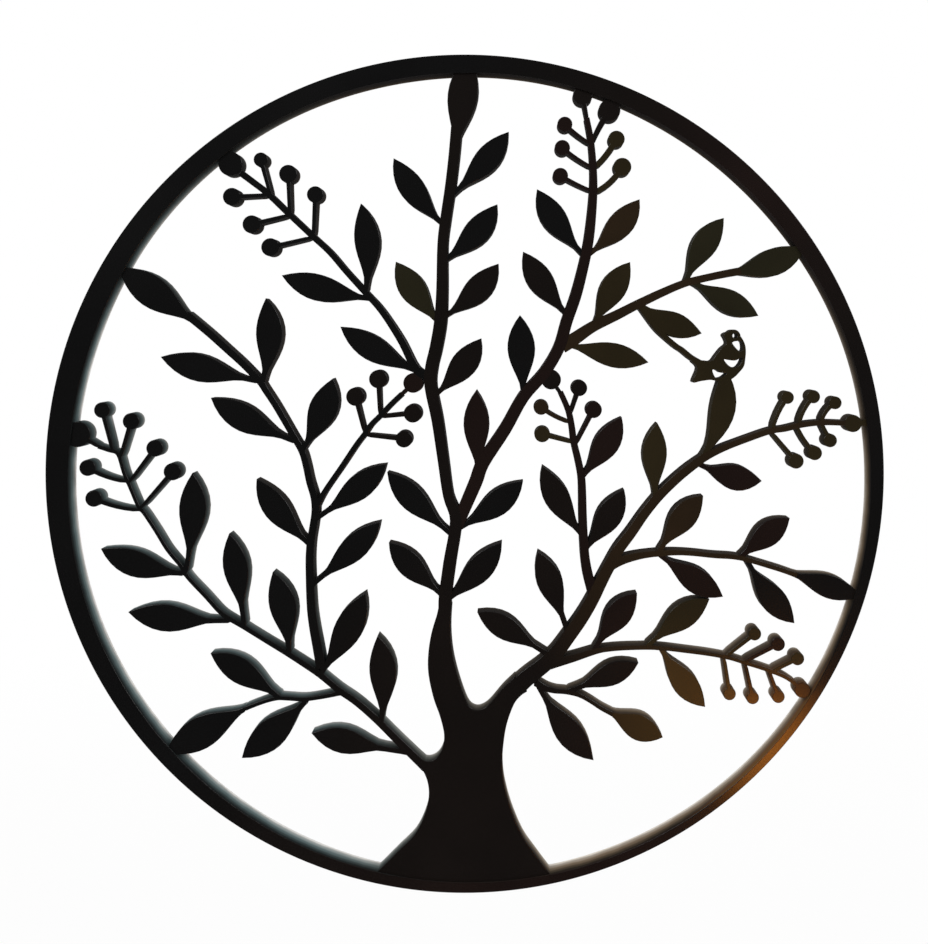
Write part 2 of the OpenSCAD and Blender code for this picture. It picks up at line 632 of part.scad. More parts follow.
module upper_left_berries() color(paint) berries(upper_left_line, upper_left_berry_items) union() {
    upper_left_flat();
    around_flat();
}
module crown_berries() color(paint) berries(crown_line, crown_berry_items) union() {
    crown_flat();
    around_flat();
}
module right_berries() color(paint) {
    berries(right_bough_line, right_berry_items) right_bough_flat();
    plate(tree_t) difference() {
        union() {
            translate(put(end_berry_at)) circle(d = grow * end_berry_share * berry_d);
            stem(end_berry_neck, berry_stalk_w * [1.3, 1.6, 3]);
        }
        right_bough_flat();
        around_flat();
    }
}
module lower_right_berries() color(paint) berries(lower_right_line, lower_right_berry_items)
    union() {
        lower_right_flat();
        around_flat();
    }
module left_berries() color(paint) berries(left_bough_line, left_berry_items) union() {
    left_bough_flat();
    around_flat();
}
module berry_twig_berries() color(paint) berries(berry_twig_line, berry_twig_berry_items) union() {
    berry_twig_flat();
    centre_stem_flat();
    upper_left_flat();
}
module right_upright_berries() color(paint)
    berries(right_upright_line, right_upright_berry_items) union() {
        right_upright_flat();
        crown_flat();
    }

// A strip with round ends, an eye between its two screws, and sunk seats for their heads
module hanger_plate() color(zinc) translate([hanger_x, 0, 0]) difference() {
    union() {
        translate([-hanger_w / 2, plate_y, leaf_screw_z]) cube([hanger_w, hanger_t, hanger_reach]);
        for (z = [leaf_screw_z, rim_screw_z]) round_y(z, plate_y, hanger_t, hanger_w, hanger_w);
    }
    for (z = [leaf_screw_z, rim_screw_z]) {
        round_y(z, plate_y - eps, hanger_t + 2 * eps, screw_hole_d, screw_hole_d);
        screw_head(z);
    }
    round_y((leaf_screw_z + rim_screw_z) / 2, plate_y - eps, hanger_t + 2 * eps,
        hanger_hole_d, hanger_hole_d);
}
module spacer(z, face) translate([hanger_x, 0, 0]) difference() {
    round_y(z, face, plate_y - face, spacer_d, spacer_d);
    round_y(z, face - eps, plate_y - face + 2 * eps, screw_hole_d, screw_hole_d);
}
module hanger_spacers() color(zinc) {
    spacer(rim_screw_z, rim_back);
    spacer(leaf_screw_z, tree_back);
}
// A sunk-head screw into a back face at y = face
module screw(z, face) translate([hanger_x, 0, 0]) difference() {
    union() {
        round_y(z, face - screw_in, back_y - head_t - face + screw_in, screw_d, screw_d);
        screw_head(z);
    }
    translate([-head_w, back_y - slot_w, z - slot_w / 2]) cube([2 * head_w, 2 * slot_w, slot_w]);
}
module hanger_screws() color(zinc) {
    screw(rim_screw_z, rim_back);
    screw(leaf_screw_z, tree_back);
}
module wall_pads() color(rubber) for (x = [-pad_x, pad_x]) translate([x, 0, 0])
    round_y(pad_z, tree_back, back_y - tree_back, pad_d, pad_d * pad_taper);

rim();
trunk();
centre_stem();
crown_stem();
upper_left_branch();
upper_right_branch();
bird_twig();
right_bough();
right_upright();
right_branch();
lower_right_branch();
low_right_twig();
left_bough();
left_upright();
lower_left_branch();
berry_twig();
top_leaf();
centre_stem_leaves();
fork_leaves();
crown_leaves();
upper_left_leaves();
upper_right_leaves();
right_bough_leaves();
right_upright_leaves();
right_branch_leaves();
lower_right_leaves();
low_right_leaves();
left_bough_leaves();
left_upright_leaves();
lower_left_leaves();
upper_left_berries();
crown_berries();
right_berries();
lower_right_berries();
left_berries();
berry_twig_berries();
right_upright_berries();
bird();
hanger_plate();
hanger_spacers();
hanger_screws();
wall_pads();
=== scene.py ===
"""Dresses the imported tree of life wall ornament: softened plate edges, paint, hanger and pads.

Every painted plate gets a new mesh whose outline is read from its CAD node, with rounded front
and back edges. The hanger, its screws and spacers and the wall pads keep their CAD shape.
"""

import logging
import math
from dataclasses import dataclass, field
from enum import Enum

import bpy
import numpy as np
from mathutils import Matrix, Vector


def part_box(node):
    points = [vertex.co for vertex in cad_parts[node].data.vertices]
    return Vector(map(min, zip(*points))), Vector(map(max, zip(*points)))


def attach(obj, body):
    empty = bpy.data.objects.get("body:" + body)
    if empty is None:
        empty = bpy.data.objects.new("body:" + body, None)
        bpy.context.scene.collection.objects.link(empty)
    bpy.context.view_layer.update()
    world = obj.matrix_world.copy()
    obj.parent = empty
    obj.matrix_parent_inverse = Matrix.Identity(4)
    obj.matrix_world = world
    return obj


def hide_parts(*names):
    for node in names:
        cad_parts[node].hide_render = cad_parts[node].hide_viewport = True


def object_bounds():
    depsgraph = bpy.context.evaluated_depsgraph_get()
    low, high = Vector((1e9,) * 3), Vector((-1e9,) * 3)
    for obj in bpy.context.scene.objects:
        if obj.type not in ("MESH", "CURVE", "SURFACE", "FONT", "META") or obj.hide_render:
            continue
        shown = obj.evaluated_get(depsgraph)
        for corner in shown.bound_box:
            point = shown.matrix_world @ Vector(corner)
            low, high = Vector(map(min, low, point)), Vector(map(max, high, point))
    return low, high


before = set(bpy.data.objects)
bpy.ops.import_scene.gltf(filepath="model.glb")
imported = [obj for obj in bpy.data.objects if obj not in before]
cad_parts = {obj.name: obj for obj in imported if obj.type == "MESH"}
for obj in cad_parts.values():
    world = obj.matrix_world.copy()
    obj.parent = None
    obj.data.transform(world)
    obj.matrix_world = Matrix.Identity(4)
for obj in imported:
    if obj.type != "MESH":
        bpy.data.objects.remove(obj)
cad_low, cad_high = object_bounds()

log = logging.getLogger("tree_of_life")

MM = 0.001
SAME_PLACE = 0.002 * MM
JOINT_GAP = 0.03 * MM
JOINT_FADE = 1.0 * MM
BODY = "root"
# Mesh attribute with the paint's tone, and in its alpha the share of painted sheen on the walls.
COAT_AND_SHEEN = "coat"


class Tone(Enum):
    """Named tones of the sprayed paint, which differs a little from leaf to leaf, and partly a
    painted warm reflection on the right and lower right.
    """

    CHARCOAL = (0.0050, 0.0050, 0.0051)
    EBONY = (0.0078, 0.0058, 0.0050)
    UMBER = (0.0120, 0.0066, 0.0055)
    # Brass glow is a painted reflection of the warm lamp; bronze, olive and moss partly stand for
    # a painted warm sheen.
    BRASS_GLOW = (0.0480, 0.0270, 0.0080)
    BRONZE = (0.0230, 0.0140, 0.0065)
    OLIVE = (0.0230, 0.0170, 0.0068)
    MOSS = (0.0180, 0.0160, 0.0075)


# ---- Node helpers ---------------------------------------------------------------------------


class Nodes:
    """Adds nodes to one node tree and joins them."""

    def __init__(self, tree: bpy.types.NodeTree) -> None:
        """Clears the tree.

        Args:
            tree: The material's or world's node tree.
        """
        self.tree = tree
        tree.nodes.clear()
        self.place = 0

    def add(self, kind: str, **values: object) -> bpy.types.Node:
        """Adds a node and sets its properties and input sockets.

        Args:
            kind: Blender's name of the node's type.
            **values: A property's or socket's name with its value; a node's output is joined.

        Returns:
            The new node.
        """
        node = self.tree.nodes.new(kind)
        node.location = (200 * (self.place % 8), -260 * (self.place // 8))
        self.place += 1
        for name, value in values.items():
            if hasattr(node, name) and name not in node.inputs:
                setattr(node, name, value)
            else:
                self.put(node, name, value)
        return node

    def put(self, node: bpy.types.Node, name: str | int, value: object) -> None:
        """Sets one input socket, or joins another node's output to it.

        Args:
            node: The node whose input is set.
            name: The socket's name, with underscores for spaces, or its number.
            value: A number, a colour, or the output socket to join.
        """
        key = name if isinstance(name, int) or name in node.inputs else name.replace("_", " ")
        socket = node.inputs[key]
        if isinstance(value, bpy.types.NodeSocket):
            self.tree.links.new(value, socket)
        else:
            socket.default_value = value

    def math(self, operation: str, first: object, second: object = 0.0) -> bpy.types.NodeSocket:
        """A Math node's result.

        Args:
            operation: The name of the sum.
            first: The first number or output.
            second: The second number or output.

        Returns:
            The result's socket.
        """
        node = self.add("ShaderNodeMath", operation=operation)
        self.put(node, 0, first)
        self.put(node, 1, second)
        return node.outputs[0]

    def ramp(self, value: object, low: float, high: float, to_low: float = 0.0,
             to_high: float = 1.0) -> bpy.types.NodeSocket:
        """A smooth change from to_low to to_high as value goes from low to high.

        Args:
            value: The output that drives the change.
            low: Value at which the change starts.
            high: Value at which it ends.
            to_low: Result at the start.
            to_high: Result at the end.

        Returns:
            The result's socket.
        """
        node = self.add("ShaderNodeMapRange", interpolation_type="SMOOTHSTEP")
        for key, number in ((0, value), (1, low), (2, high), (3, to_low), (4, to_high)):
            self.put(node, key, number)
        return node.outputs[0]

    def blend(self, share: object, first: object, second: object) -> bpy.types.NodeSocket:
        """A colour between two colours.

        Args:
            share: How much of the second colour shows, from 0 to 1.
            first: The first colour or output.
            second: The second colour or output.

        Returns:
            The colour's socket.
        """
        node = self.add("ShaderNodeMix", data_type="RGBA")
        self.put(node, 0, share)
        self.put(node, 6, first)
        self.put(node, 7, second)
        return node.outputs[2]

    def layered(self, kind: str, first: object, second: object) -> bpy.types.NodeSocket:
        """One colour laid over another.

        Args:
            kind: How they are laid, such as "MULTIPLY" for a tint or "LIGHTEN" for a painted
                reflection.
            first: The colour below.
            second: The colour above.

        Returns:
            The colour's socket.
        """
        node = self.add("ShaderNodeMix", data_type="RGBA", blend_type=kind)
        for key, value in ((0, 1.0), (6, first), (7, second)):
            self.put(node, key, value)
        return node.outputs[2]

    def noise(self, coords: object, scale: float, detail: float = 2.0) -> bpy.types.NodeSocket:
        """A soft random pattern.

        Args:
            coords: The coordinates' output.
            scale: Spots per metre.
            detail: How many finer patterns are added.

        Returns:
            The pattern's socket, from 0 to 1.
        """
        node = self.add("ShaderNodeTexNoise", Vector=coords, Scale=scale, Detail=detail)
        return node.outputs[0]


def rgba(colour: tuple[float, float, float]) -> tuple[float, float, float, float]:
    """The colour with full alpha."""
    return (*colour, 1.0)


def new_material(name: str) -> tuple[bpy.types.Material, Nodes]:
    """An empty node material.

    Args:
        name: The material's name.

    Returns:
        The material and its nodes.
    """
    material = bpy.data.materials.new(name)
    material.use_nodes = True
    return material, Nodes(material.node_tree)


# ---- Finishes -------------------------------------------------------------------------------


@dataclass(frozen=True)
class SatinPaint:
    """Satin black paint, with a painted sheen on its walls that brightens towards the back.

    The front carries a faint orange peel and slow changes of tone. Around the trunk every
    piece has the trunk's tone, and the rim's lower right carries a painted amber reflection.
    On the walls a painted sheen brightens with depth to pale grey at the back edge: hardly
    at all around the upper middle, and fully towards the rim and the foot. It is tinted by
    painted cool light on the left and painted warm light on the right, and a painted amber
    reflection lies on it near the lower right.

    A stop of a gradient is a share of the depth with the grey that is reached there. A
    reach is the two distances from a middle between which a change takes place.
    """

    front_y: float
    back_y: float

    # The front's tones, the painted amber reflection at the rim's lower right, and the dust on
    # the back.
    black: tuple[float, float, float] = (0.0040, 0.0040, 0.0041)
    dusted: tuple[float, float, float] = (0.030, 0.030, 0.030)
    trunk: tuple[float, float, float] = Tone.EBONY.value
    trunk_middle: tuple[float, float, float] = (0.0, 0.0, -0.085)
    trunk_reach: tuple[float, float] = (0.025, 0.075)
    painted_glow: tuple[float, float, float] = (0.125, 0.040, 0.006)
    painted_glow_reach: tuple[float, float] = (0.004, 0.033)

    # The walls' painted sheen: its gradients, and its tints of painted cool and warm light.
    bright_wall_sheen: tuple[tuple[float, float], ...] = (
        (0.12, 0.015), (0.28, 0.045), (0.50, 0.125), (0.75, 0.310), (0.95, 0.740))
    shaded_wall_sheen: tuple[tuple[float, float], ...] = (
        (0.35, 0.007), (0.65, 0.014), (0.95, 0.055))
    middle: tuple[float, float, float] = (0.019, 0.0, 0.051)
    shaded_to_bright_sheen: tuple[float, float] = (0.100, 0.165)
    cool_light: tuple[float, float, float] = (0.72, 1.02, 1.05)
    cool_light_end: tuple[float, float, float] = (1.00, 0.99, 0.95)
    warm_light: tuple[float, float, float] = (1.25, 0.90, 0.58)
    warm_light_end: tuple[float, float, float] = (1.04, 0.96, 0.85)
    cool_to_warm_light: tuple[float, float] = (-0.06, 0.05)
    light_tint_to_end: tuple[float, float] = (0.4, 0.95)
    painted_amber: tuple[float, float, float] = (0.130, 0.065, 0.020)
    painted_glow_middle: tuple[float, float, float] = (0.111, 0.0, -0.098)
    painted_amber_reach: tuple[float, float] = (0.012, 0.050)

    # How shiny and how even the coat is; patterns are in spots per metre.
    roughness: float = 0.24
    roughness_change: float = 0.03
    wall_roughness: float = 0.95
    back_dullness: float = 0.25
    gloss: float = 0.3
    wall_gloss: float = 0.12
    wisp_scale: float = 160.0
    wisp_depth: float = 0.03
    cloud_scale: float = 28.0
    dust_scale: float = 420.0
    peel_scale: float = 1500.0
    peel_height: float = 0.000001
    peel_strength: float = 0.35

    @staticmethod
    def reach(nodes: Nodes, place: object, middle: tuple[float, float, float],
              low: float, high: float) -> bpy.types.NodeSocket:
        """How far out a place lies from a middle, from 0 at low to 1 at high.

        Args:
            nodes: The material's nodes.
            place: The output with the place in metres.
            middle: Where distances are measured from.
            low: Distance at which the result is 0.
            high: Distance at which it is 1.

        Returns:
            The result's socket.
        """
        away = nodes.add("ShaderNodeVectorMath", operation="DISTANCE")
        nodes.put(away, 0, place)
        nodes.put(away, 1, middle)
        return nodes.ramp(away.outputs[1], low, high)

    def walls(self, nodes: Nodes, place: object, coat: object) -> bpy.types.NodeSocket:
        """The walls' colour: a painted sheen that brightens with depth, tinted by painted cool
        and warm light, with a painted amber reflection near the lower right.

        Args:
            nodes: The material's nodes.
            place: The output with the place in metres.
            coat: The output with the front's colour.

        Returns:
            The colour's socket.
        """
        axes = nodes.add("ShaderNodeSeparateXYZ", Vector=place)
        wisps = nodes.ramp(nodes.noise(place, self.wisp_scale, 3.0), 0.3, 0.7,
                           -self.wisp_depth, self.wisp_depth)
        share = nodes.math("DIVIDE", nodes.math("SUBTRACT", axes.outputs[1], self.front_y),
                           self.back_y - self.front_y)
        sheen_depth = nodes.math("ADD", share, wisps)
        gradients = []
        # Painted sheen on the walls: a dim gradient near the middle and a bright one further out,
        # both brightening towards the back.
        for stops in (self.shaded_wall_sheen, self.bright_wall_sheen):
            shade, before = coat, 0.0
            for end, grey in stops:
                shade = nodes.blend(nodes.ramp(sheen_depth, before, end), shade, rgba((grey,) * 3))
                before = end
            gradients.append(shade)
        # Painted shade near the middle: the walls there keep the dim sheen.
        bright_sheen_share = self.reach(nodes, place, self.middle, *self.shaded_to_bright_sheen)
        # Painted light: the walls' sheen is tinted cool on the ornament's left and warm on its
        # right, and warm near the middle.
        side = nodes.ramp(axes.outputs[0], *self.cool_to_warm_light)
        dark = nodes.blend(side, rgba(self.cool_light), rgba(self.warm_light))
        pale = nodes.blend(side, rgba(self.cool_light_end), rgba(self.warm_light_end))
        light_tint = nodes.blend(nodes.ramp(sheen_depth, *self.light_tint_to_end), dark, pale)
        full = nodes.layered("MULTIPLY", gradients[0], rgba(self.warm_light))
        light_tinted_walls = nodes.blend(bright_sheen_share, full, nodes.layered("MULTIPLY", gradients[1], light_tint))
        # Painted amber reflection of the warm lamp on the walls near the rim's lower right.
        away_from_glow = self.reach(nodes, place, self.painted_glow_middle, *self.painted_amber_reach)
        return nodes.layered("LIGHTEN", light_tinted_walls, nodes.blend(away_from_glow, rgba(self.painted_amber), coat))

    def front(self, nodes: Nodes, place: object, own: object,
              clouds: object) -> bpy.types.NodeSocket:
        """The front's colour: a piece's own tone, changed by place and by slow clouds, with a
        painted amber reflection at the rim's lower right.

        Args:
            nodes: The material's nodes.
            place: The output with the place in metres.
            own: The output with the piece's own tone.
            clouds: The output with the slow pattern.

        Returns:
            The colour's socket.
        """
        away = self.reach(nodes, place, self.trunk_middle, *self.trunk_reach)
        tone = nodes.blend(away, rgba(self.trunk), own)
        # Painted amber reflection of the warm lamp on the front near the rim's lower right.
        away_from_glow = self.reach(nodes, place, self.painted_glow_middle, *self.painted_glow_reach)
        tone = nodes.layered("LIGHTEN", tone, nodes.blend(away_from_glow, rgba(self.painted_glow), tone))
        share = nodes.ramp(clouds, 0.32, 0.66, 0.75, 1.0)
        return nodes.blend(share, rgba(self.black), tone)

    def material(self) -> bpy.types.Material:
        """Builds the paint's node material.

        The coat attribute holds the front's colour, and in its alpha how much painted sheen the
        walls carry there.

        Returns:
            The material.
        """
        material, nodes = new_material("satin_black")
        coords = nodes.add("ShaderNodeTexCoord")
        place = coords.outputs["Object"]
        facing = nodes.add("ShaderNodeSeparateXYZ", Vector=coords.outputs["Normal"]).outputs[1]
        wall = nodes.ramp(nodes.math("ABSOLUTE", facing), 0.25, 0.75, 1.0, 0.0)
        behind = nodes.ramp(facing, 0.25, 0.75)
        attribute = nodes.add("ShaderNodeAttribute", attribute_name=COAT_AND_SHEEN)
        # How much painted sheen the walls carry at each point.
        wall_sheen_share = nodes.math("MULTIPLY", wall, attribute.outputs["Alpha"])
        clouds = nodes.noise(place, self.cloud_scale, 3.0)
        coat = self.front(nodes, place, attribute.outputs["Color"], clouds)
        dust = nodes.ramp(nodes.noise(place, self.dust_scale, 4.0), 0.4, 0.62)
        backs = nodes.blend(dust, rgba(self.black), rgba(self.dusted))
        painted = nodes.blend(wall_sheen_share, coat, self.walls(nodes, place, coat))
        change = self.roughness_change
        rough = nodes.ramp(clouds, 0.3, 0.7, self.roughness - change, self.roughness + change)
        spread = self.wall_roughness - self.roughness
        dull = nodes.math("MAXIMUM", nodes.math("MULTIPLY", wall_sheen_share, spread),
                          nodes.math("MULTIPLY", behind, self.back_dullness))
        peel = nodes.noise(place, self.peel_scale, 1.5)
        bump = nodes.add("ShaderNodeBump", Strength=self.peel_strength,
                         Distance=self.peel_height, Height=peel)
        shine = nodes.ramp(wall_sheen_share, 0.0, 1.0, self.gloss, self.wall_gloss)
        shader = nodes.add("ShaderNodeBsdfPrincipled",
                           Base_Color=nodes.blend(behind, painted, backs),
                           Roughness=nodes.math("ADD", rough, dull), Normal=bump.outputs[0],
                           Specular_IOR_Level=shine)
        nodes.add("ShaderNodeOutputMaterial", Surface=shader.outputs[0])
        return material


@dataclass(frozen=True)
class ZincPlate:
    """Bright zinc on stamped or turned steel, brushed along one direction."""

    grain: tuple[float, float, float] = (2600.0, 2600.0, 160.0)
    light: tuple[float, float, float] = (0.62, 0.61, 0.58)
    dark: tuple[float, float, float] = (0.36, 0.35, 0.33)
    stain_scale: float = 500.0
    roughness: tuple[float, float] = (0.28, 0.46)
    line_height: float = 0.00001

    def material(self) -> bpy.types.Material:
        """Builds the metal's node material.

        Returns:
            The material.
        """
        material, nodes = new_material("zinc_steel")
        place = nodes.add("ShaderNodeTexCoord").outputs["Object"]
        stretch = nodes.add("ShaderNodeMapping", Vector=place, Scale=self.grain)
        lines = nodes.noise(stretch.outputs[0], 1.0, 3.0)
        stains = nodes.noise(place, self.stain_scale, 3.0)
        colour = nodes.blend(nodes.ramp(stains, 0.35, 0.7), rgba(self.light), rgba(self.dark))
        rough = nodes.ramp(lines, 0.3, 0.7, *self.roughness)
        bump = nodes.add("ShaderNodeBump", Strength=0.3, Distance=self.line_height,
                         Height=lines)
        shader = nodes.add("ShaderNodeBsdfPrincipled", Base_Color=colour, Metallic=1.0,
                           Roughness=rough, Normal=bump.outputs[0])
        nodes.add("ShaderNodeOutputMaterial", Surface=shader.outputs[0])
        return material


@dataclass(frozen=True)
class PadRubber:
    """Dark grey rubber with fine pits and a dusty bloom."""

    dark: tuple[float, float, float] = (0.020, 0.020, 0.021)
    bloom: tuple[float, float, float] = (0.060, 0.058, 0.055)
    pit_scale: float = 3000.0
    bloom_scale: float = 350.0
    roughness: tuple[float, float] = (0.72, 0.88)
    pit_depth: float = 0.00003

    def material(self) -> bpy.types.Material:
        """Builds the rubber's node material.

        Returns:
            The material.
        """
        material, nodes = new_material("pad_rubber")
        place = nodes.add("ShaderNodeTexCoord").outputs["Object"]
        pits = nodes.noise(place, self.pit_scale, 2.0)
        dust = nodes.ramp(nodes.noise(place, self.bloom_scale, 3.0), 0.42, 0.7)
        colour = nodes.blend(dust, rgba(self.dark), rgba(self.bloom))
        rough = nodes.ramp(pits, 0.3, 0.7, *self.roughness)
        bump = nodes.add("ShaderNodeBump", Strength=0.4, Distance=self.pit_depth, Height=pits)
        shader = nodes.add("ShaderNodeBsdfPrincipled", Base_Color=colour, Roughness=rough,
                           Normal=bump.outputs[0])
        nodes.add("ShaderNodeOutputMaterial", Surface=shader.outputs[0])
        return material


# ---- Flat outlines and plate meshes ---------------------------------------------------------


@dataclass
class Outline:
    """A plate's flat front face: its points in X and Z, its triangles and its outer edges.

    An edge runs from its start point to its end point with the plate on its left.
    """

    points: np.ndarray
    triangles: np.ndarray
    starts: np.ndarray
    ends: np.ndarray

    def segments(self) -> np.ndarray:
        """The edges as an array of start and end points."""
        return np.stack([self.points[self.starts], self.points[self.ends]], axis=1)


def outline_of(node: str) -> Outline:
    """Reads a CAD node's front face.

    The triangles that look straight to the front are kept, points at the same place become
    one, and an edge used by one triangle only is an outer edge.

    Args:
        node: The CAD node's name.

    Returns:
        The outline.
    """
    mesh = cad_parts[node].data
    places = np.empty(len(mesh.vertices) * 3, np.float32)
    mesh.vertices.foreach_get("co", places)
    mesh.calc_loop_triangles()
    corners = np.empty(len(mesh.loop_triangles) * 3, np.int32)
    mesh.loop_triangles.foreach_get("vertices", corners)
    solid = places.reshape(-1, 3).astype(float)[corners.reshape(-1, 3)]
    across = np.cross(solid[:, 1] - solid[:, 0], solid[:, 2] - solid[:, 0])
    size = np.linalg.norm(across, axis=1)
    front = across[:, 1] < -0.99 * size
    flat = solid[front & (size > 0)][:, :, [0, 2]].reshape(-1, 2)
    keys, same = np.unique(np.round(flat / SAME_PLACE).astype(np.int64), axis=0,
                           return_inverse=True)
    points = np.zeros((len(keys), 2))
    points[same.ravel()] = flat
    triangles = same.reshape(-1, 3)
    whole = (triangles[:, 0] != triangles[:, 1]) & (triangles[:, 1] != triangles[:, 2]) \
        & (triangles[:, 2] != triangles[:, 0])
    triangles = triangles[whole]
    starts = triangles.ravel()
    ends = np.roll(triangles, -1, axis=1).ravel()
    count = len(points)
    outer = ~np.isin(starts * count + ends, ends * count + starts)
    return Outline(points, triangles, starts[outer], ends[outer])


def separate_pieces(shape: Outline) -> np.ndarray:
    """Numbers the separate pieces of an outline, from the highest to the lowest.

    Each point starts with its own number, and every triangle's points take the smallest
    number among them until nothing changes.

    Args:
        shape: The outline.

    Returns:
        Each point's piece number, from 0.
    """
    label = np.arange(len(shape.points))
    while True:
        least = label[shape.triangles].min(1)
        spread = label.copy()
        np.minimum.at(spread, shape.triangles.ravel(), np.repeat(least, 3))
        if (spread == label).all():
            break
        label = spread
    numbers = np.unique(label[shape.triangles])
    heights = [shape.points[label == number, 1].mean() for number in numbers]
    order = np.zeros(len(shape.points), int)
    for place, index in enumerate(np.argsort(heights)[::-1]):
        order[label == numbers[index]] = place
    return order


def distance_to(points: np.ndarray, segments: np.ndarray) -> np.ndarray:
    """Each point's distance to the nearest of some straight segments.

    The point is dropped onto each segment's line, and the foot is held between its ends.

    Args:
        points: Points, as rows of X and Z.
        segments: Start and end points of the segments.

    Returns:
        One distance for each point.
    """
    start, way = segments[:, 0], segments[:, 1] - segments[:, 0]
    square = np.maximum((way ** 2).sum(1), 1e-18)
    nearest = np.empty(len(points))
    for first in range(0, len(points), 256):
        offset = points[first:first + 256, None] - start[None]
        share = np.clip((offset * way).sum(2) / square, 0, 1)
        gap = np.linalg.norm(offset - share[..., None] * way, axis=2)
        nearest[first:first + 256] = gap.min(1)
    return nearest


@dataclass(frozen=True)
class EdgeProfile:
    """The rounded section of a plate's edge, from its front face to its back face."""

    front_round: float = 0.30 * MM
    back_round: float = 0.15 * MM
    front_steps: int = 3
    back_steps: int = 2

    def rows(self, front_y: float, back_y: float) -> tuple[np.ndarray, np.ndarray, np.ndarray]:
        """Rows of the section: a quarter circle, the straight wall, and a quarter circle.

        Along a quarter circle the inset is the radius times one minus the sine of the
        turn, and the depth is the radius times one minus its cosine.

        Args:
            front_y: Depth of the front face.
            back_y: Depth of the back face.

        Returns:
            Each row's inset, its depth, and its normal's share outwards and along Y.
        """
        first = np.linspace(0, math.pi / 2, self.front_steps + 1)
        last = np.linspace(math.pi / 2, 0, self.back_steps + 1)
        inset = np.concatenate([self.front_round * (1 - np.sin(first)),
                                self.back_round * (1 - np.sin(last))])
        depth = np.concatenate([front_y + self.front_round * (1 - np.cos(first)),
                                back_y - self.back_round * (1 - np.cos(last))])
        normal = np.concatenate([np.stack([np.sin(first), -np.cos(first)], 1),
                                 np.stack([np.sin(last), np.cos(last)], 1)])
        return inset, depth, normal


def unit(ways: np.ndarray) -> np.ndarray:
    """The rows scaled to length one."""
    return ways / np.maximum(np.linalg.norm(ways, axis=-1, keepdims=True), 1e-12)


def add_mesh(name: str, points: np.ndarray, faces: list[np.ndarray],
             normals: list[np.ndarray], tones: np.ndarray | None = None) -> bpy.types.Object:
    """Makes an object from faces that share points, with a normal at each corner.

    Args:
        name: The object's name.
        points: The points, as rows of X, Y and Z.
        faces: Arrays of faces; the faces of one array have the same number of corners.
        normals: For each array of faces, the normals of its corners.
        tones: At each point the paint's colour, and how much painted sheen the walls carry
            there, kept as the mesh's coat attribute.

    Returns:
        The object, linked to the scene.
    """
    used, packed = np.unique(np.concatenate([f.ravel() for f in faces]), return_inverse=True)
    sizes = np.concatenate([np.full(len(f), f.shape[1]) for f in faces])
    mesh = bpy.data.meshes.new(name)
    mesh.vertices.add(len(used))
    mesh.vertices.foreach_set("co", points[used].astype(np.float32).ravel())
    mesh.loops.add(len(packed))
    mesh.loops.foreach_set("vertex_index", packed.astype(np.int32).ravel())
    mesh.polygons.add(len(sizes))
    mesh.polygons.foreach_set("loop_start", (np.cumsum(sizes) - sizes).astype(np.int32))
    mesh.polygons.foreach_set("use_smooth", np.ones(len(sizes), bool))
    mesh.update(calc_edges=True)
    corner = np.concatenate([n.reshape(-1, 3) for n in normals])
    mesh.normals_split_custom_set(corner.astype(np.float32))
    if tones is not None:
        coat = mesh.attributes.new(COAT_AND_SHEEN, "FLOAT_COLOR", "POINT")
        coat.data.foreach_set("color", tones[used].astype(np.float32).ravel())
    thing = bpy.data.objects.new(name, mesh)
    bpy.context.scene.collection.objects.link(thing)
    return thing


